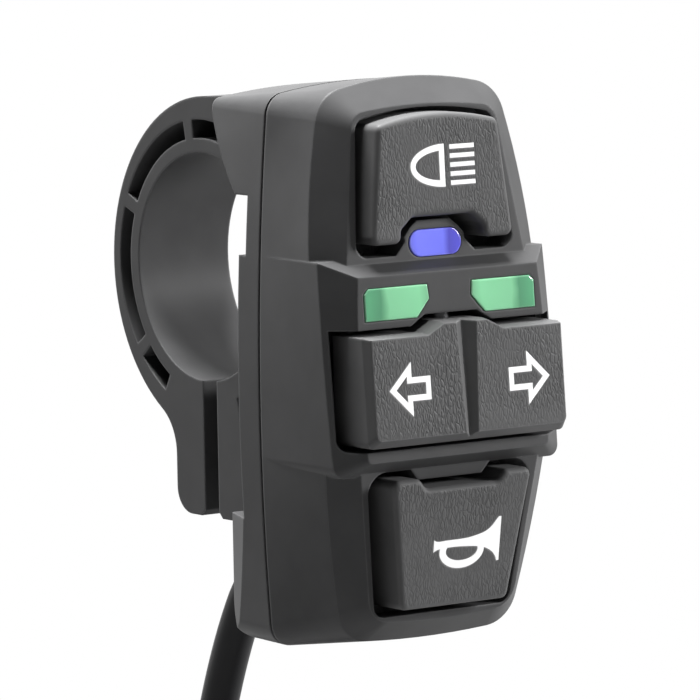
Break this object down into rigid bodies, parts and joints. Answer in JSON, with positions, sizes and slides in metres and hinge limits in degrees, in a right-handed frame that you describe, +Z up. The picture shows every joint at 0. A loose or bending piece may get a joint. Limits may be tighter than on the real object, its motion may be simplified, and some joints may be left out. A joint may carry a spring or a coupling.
{
  "type": "handlebar switch cluster",
  "caption": "Compact motorcycle handlebar switch: light push button, rocking turn signal pad and horn button in a bowed plastic case with a split clamp ring and cable.",
  "frame": {"origin": "centre of the handlebar bore, in the middle of the clamp ring's width", "axes": "+X along the handlebar, to the right as the rider sees the buttons; -Y out of the buttons towards the rider; +Z up"},
  "size_m": [0.0266, 0.051, 0.1416],
  "materials": {
    "case_plastic": "fine matt texture",
    "button_plastic": "matt with a shallow leather grain",
    "seal_rubber": "matt",
    "zinc_steel": "zinc plated",
    "black_steel": "black oxide",
    "white_print": "printed, matt",
    "switch_plastic": "matt",
    "plunger_plastic": "moulded",
    "blue_lens": "translucent, smooth",
    "green_lens": "translucent, smooth",
    "lamp_resin": "clear resin",
    "board_laminate": "solder mask",
    "lead_insulation": "smooth",
    "cable_rubber": "smooth, satin",
    "tie_plastic": "smooth",
    "connector_plastic": "smooth",
    "contact_brass": "tin-flashed"
  },
  "bodies": {
    "case": {"front_cover": "case_plastic", "rear_cover": "case_plastic", "case_seal": "seal_rubber", "case_screws": "zinc_steel", "clamp_nut": "zinc_steel", "light_switch": "switch_plastic", "rocker_pin": "zinc_steel", "turn_switch": "switch_plastic", "horn_switch": "switch_plastic", "blue_lens": "blue_lens", "left_lens": "green_lens", "right_lens": "green_lens", "blue_lamp": "lamp_resin", "green_lamps": "lamp_resin", "circuit_board": "board_laminate", "board_screws": "zinc_steel", "lead_wires": "lead_insulation", "cable_grommet": "cable_rubber", "cable": "cable_rubber", "cable_coil": "cable_rubber", "cable_tail": "cable_rubber", "cable_tie": "tie_plastic", "connector_housing": "connector_plastic", "connector_contacts": "contact_brass"},
    "light_button": {"light_button": "button_plastic", "light_symbol": "white_print"},
    "light_plunger": {"light_switch_plunger": "plunger_plastic"},
    "rocker": {"turn_rocker": "button_plastic", "turn_symbols": "white_print"},
    "slider": {"turn_switch_slider": "plunger_plastic"},
    "horn_button": {"horn_button": "button_plastic", "horn_symbol": "white_print"},
    "horn_plunger": {"horn_switch_plunger": "plunger_plastic"},
    "clamp_screw": {"clamp_screw": "black_steel"}
  },
  "joints": [
    {"name": "light_press", "type": "slide", "parent": "case", "child": "light_button", "axis": [0, 1, 0], "range_m": [0, 0.0012], "stiffness_N_per_m": 600, "springref_m": -0.001},
    {"name": "light_plunger_slide", "type": "slide", "parent": "case", "child": "light_plunger", "axis": [0, 1, 0], "range_m": [0, 0.0012]},
    {"name": "turn_rock", "type": "hinge", "parent": "case", "child": "rocker", "pos_m": [0, -0.0305, 0], "axis": [0, 0, 1], "range_deg": [-9, 9]},
    {"name": "slider_slide", "type": "slide", "parent": "case", "child": "slider", "axis": [1, 0, 0], "range_m": [-0.00065, 0.00065]},
    {"name": "horn_press", "type": "slide", "parent": "case", "child": "horn_button", "axis": [0, 1, 0], "range_m": [0, 0.001], "stiffness_N_per_m": 600, "springref_m": -0.001},
    {"name": "horn_plunger_slide", "type": "slide", "parent": "case", "child": "horn_plunger", "axis": [0, 1, 0], "range_m": [0, 0.001]},
    {"name": "clamp_screw_turn", "type": "hinge", "parent": "case", "child": "clamp_screw", "pos_m": [0, 0, -0.0192], "axis": [0, 1, 0], "continuous": true}
  ],
  "couplings": [
    {"joint": "light_plunger_slide", "follows": "light_press", "ratio": 1},
    {"joint": "slider_slide", "follows": "turn_rock", "m_per_rad": -0.0041},
    {"joint": "horn_plunger_slide", "follows": "horn_press", "ratio": 1}
  ]
}
